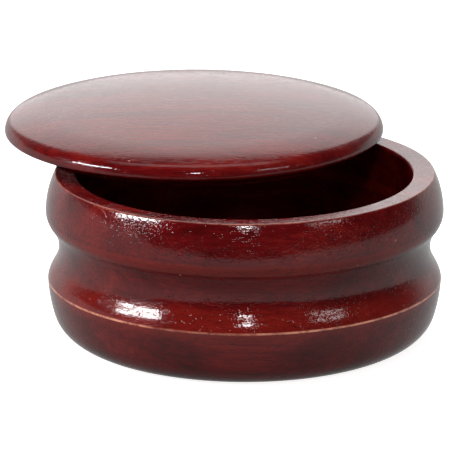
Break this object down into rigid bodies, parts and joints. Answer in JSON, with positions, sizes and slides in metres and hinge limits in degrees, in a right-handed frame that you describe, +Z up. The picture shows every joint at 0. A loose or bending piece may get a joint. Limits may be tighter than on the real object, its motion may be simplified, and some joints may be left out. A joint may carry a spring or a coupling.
{
  "type": "lidded shaving bowl",
  "caption": "Turned wooden shaving bowl with two rounded bands and a cove between them, and a loose domed lid that plugs into its mouth.",
  "frame": {"origin": "centre of the bowl's base, on the bowl's axis", "axes": "+Z up along the bowl's axis; +Y away from the viewer; the lid is drawn pushed aside to the left (-X) and back (+Y)"},
  "size_m": [0.1396, 0.1559, 0.0679],
  "materials": {
    "bowl_wood": "turned wood, dark red mahogany stain under clear gloss lacquer",
    "lid_wood": "turned wood, dark red mahogany stain under clear gloss lacquer"
  },
  "bodies": {
    "bowl": {"bowl": "bowl_wood"},
    "lid": {"lid": "lid_wood"}
  },
  "joints": [
    {"name": "lid_lift", "type": "slide", "parent": "bowl", "child": "lid", "axis": [0, 0, 1], "range_m": [0, 0.1]}
  ]
}
